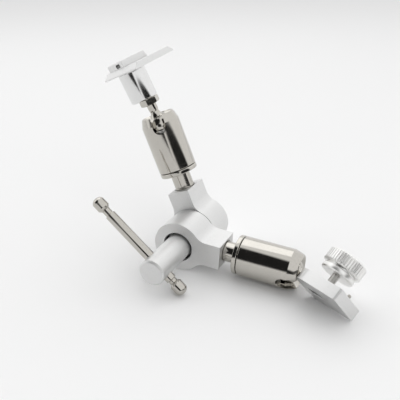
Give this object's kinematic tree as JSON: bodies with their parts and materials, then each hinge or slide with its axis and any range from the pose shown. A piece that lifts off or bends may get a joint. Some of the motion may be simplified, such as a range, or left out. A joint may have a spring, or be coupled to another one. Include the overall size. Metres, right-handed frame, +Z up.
{
  "type": "articulated locking arm",
  "caption": "Articulated locking arm: clamp blocks pivot on a spindle with a sliding bar; slotted ball housings carry a head plate and a thumb-screw clamp plate.",
  "frame": {"origin": "centre of the bounding box's footprint, on the surface the arm lies on", "axes": "+X along the longest extent, from the sliding bar's free end to the thumb screw's side; +Y away from the spindle's free end; +Z up"},
  "size_m": [0.1132, 0.0962, 0.0955],
  "materials": {
    "block_aluminium": "bead-blasted, clear anodised",
    "plate_aluminium": "fine brushed, clear anodised",
    "polished_steel": "polished stainless",
    "turned_steel": "turned and ground",
    "knurled_steel": "fluted, bright machined",
    "bronze": "machined bronze",
    "dark_steel": "black oxide spring steel"
  },
  "bodies": {
    "front_arm": {"front_block": "block_aluminium", "centre_bush": "bronze", "key_pin": "turned_steel", "thrust_washer": "dark_steel", "lower_core": "polished_steel", "lower_end_ring": "polished_steel", "lower_snap_ring": "dark_steel"},
    "rear_arm": {"rear_block": "block_aluminium", "rear_cap": "block_aluminium", "release_spring": "dark_steel", "upper_core": "polished_steel", "upper_end_ring": "polished_steel", "upper_snap_ring": "dark_steel"},
    "spindle": {"spindle": "block_aluminium"},
    "sliding_bar": {"sliding_bar": "polished_steel", "bar_end_long": "polished_steel", "bar_end_short": "polished_steel"},
    "wedge_shaft": {"wedge_shaft": "turned_steel"},
    "lower_pusher": {"lower_push_rod": "turned_steel", "lower_ball_seat": "turned_steel"},
    "upper_pusher": {"upper_push_rod": "turned_steel", "upper_ball_seat": "turned_steel"},
    "lower_housing": {"lower_housing": "polished_steel"},
    "upper_housing": {"upper_housing": "polished_steel"},
    "lower_ball_stud": {"lower_ball_stud": "polished_steel"},
    "upper_ball_stud": {"upper_ball_stud": "polished_steel"},
    "head": {"jam_nut": "polished_steel", "head_socket": "plate_aluminium", "head_plate": "plate_aluminium", "head_pad": "plate_aluminium", "head_screw": "dark_steel"},
    "clamp_plate": {"clamp_plate": "plate_aluminium", "guide_pin": "polished_steel"},
    "pressure_pad": {"pressure_pad": "turned_steel"},
    "thumb_screw": {"thumb_knob": "knurled_steel", "thumb_stem": "polished_steel"}
  },
  "joints": [
    {"name": "rear_arm_turn", "type": "hinge", "parent": "front_arm", "child": "rear_arm", "pos_m": [-0.0139, 0.01215, 0.01175], "axis": [-0.4226, -0.9063, 0], "range_deg": [-55, 175]},
    {"name": "spindle_turn", "type": "hinge", "parent": "front_arm", "child": "spindle", "pos_m": [-0.02235, -0.00598, 0.01175], "axis": [-0.4226, -0.9063, 0], "range_deg": [-60, 90]},
    {"name": "bar_slide", "type": "slide", "parent": "spindle", "child": "sliding_bar", "axis": [0.6892, -0.3214, -0.6494], "range_m": [-0.00325, 0.0268]},
    {"name": "wedge_draw", "type": "slide", "parent": "front_arm", "child": "wedge_shaft", "axis": [-0.4226, -0.9063, 0], "range_m": [-0.00031234, 0.00020823]},
    {"name": "lower_push", "type": "slide", "parent": "front_arm", "child": "lower_pusher", "axis": [0.905, -0.422, -0.0532], "range_m": [-0.00011602, 0.00007734]},
    {"name": "upper_push", "type": "slide", "parent": "rear_arm", "child": "upper_pusher", "axis": [-0.3468, 0.1617, 0.9239], "range_m": [-0.00011602, 0.00007734]},
    {"name": "lower_swivel", "type": "hinge", "parent": "front_arm", "child": "lower_housing", "pos_m": [0.01892, -0.01198, 0.00962], "axis": [0.905, -0.422, -0.0532], "continuous": true},
    {"name": "lower_tilt", "type": "hinge", "parent": "lower_housing", "child": "lower_ball_stud", "pos_m": [0.02815, -0.01629, 0.00908], "axis": [-0.1059, -0.1023, -0.9891], "range_deg": [-67.2, 4.8]},
    {"name": "clamp_spin", "type": "hinge", "parent": "lower_ball_stud", "child": "clamp_plate", "pos_m": [0.02815, -0.01629, 0.00908], "axis": [0.5607, -0.8276, 0.0256], "continuous": true},
    {"name": "pad_advance", "type": "slide", "parent": "clamp_plate", "child": "pressure_pad", "axis": [-0.6402, -0.4529, -0.6204], "range_m": [-0.0006, 0.0018]},
    {"name": "thumb_turn", "type": "hinge", "parent": "pressure_pad", "child": "thumb_screw", "pos_m": [0.03992, -0.03367, 0.00962], "axis": [0.6402, 0.4529, 0.6204], "range_deg": [-1080, 360]},
    {"name": "upper_swivel", "type": "hinge", "parent": "rear_arm", "child": "upper_housing", "pos_m": [-0.02439, 0.02587, 0.04871], "axis": [-0.3468, 0.1617, 0.9239], "continuous": true},
    {"name": "upper_tilt", "type": "hinge", "parent": "upper_housing", "child": "upper_ball_stud", "pos_m": [-0.02866, 0.02786, 0.06007], "axis": [0.9375, 0.0292, 0.3468], "range_deg": [-38, 76]},
    {"name": "head_spin", "type": "hinge", "parent": "upper_ball_stud", "child": "head", "pos_m": [-0.02866, 0.02786, 0.06007], "axis": [-0.4173, 0.0972, 0.9036], "continuous": true}
  ],
  "couplings": [
    {"joint": "spindle_turn", "follows": "wedge_draw", "rad_per_m": -5026.5},
    {"joint": "lower_push", "follows": "wedge_draw", "ratio": 0.36397},
    {"joint": "upper_push", "follows": "wedge_draw", "ratio": 0.36397},
    {"joint": "thumb_turn", "follows": "pad_advance", "rad_per_m": -10472}
  ]
}
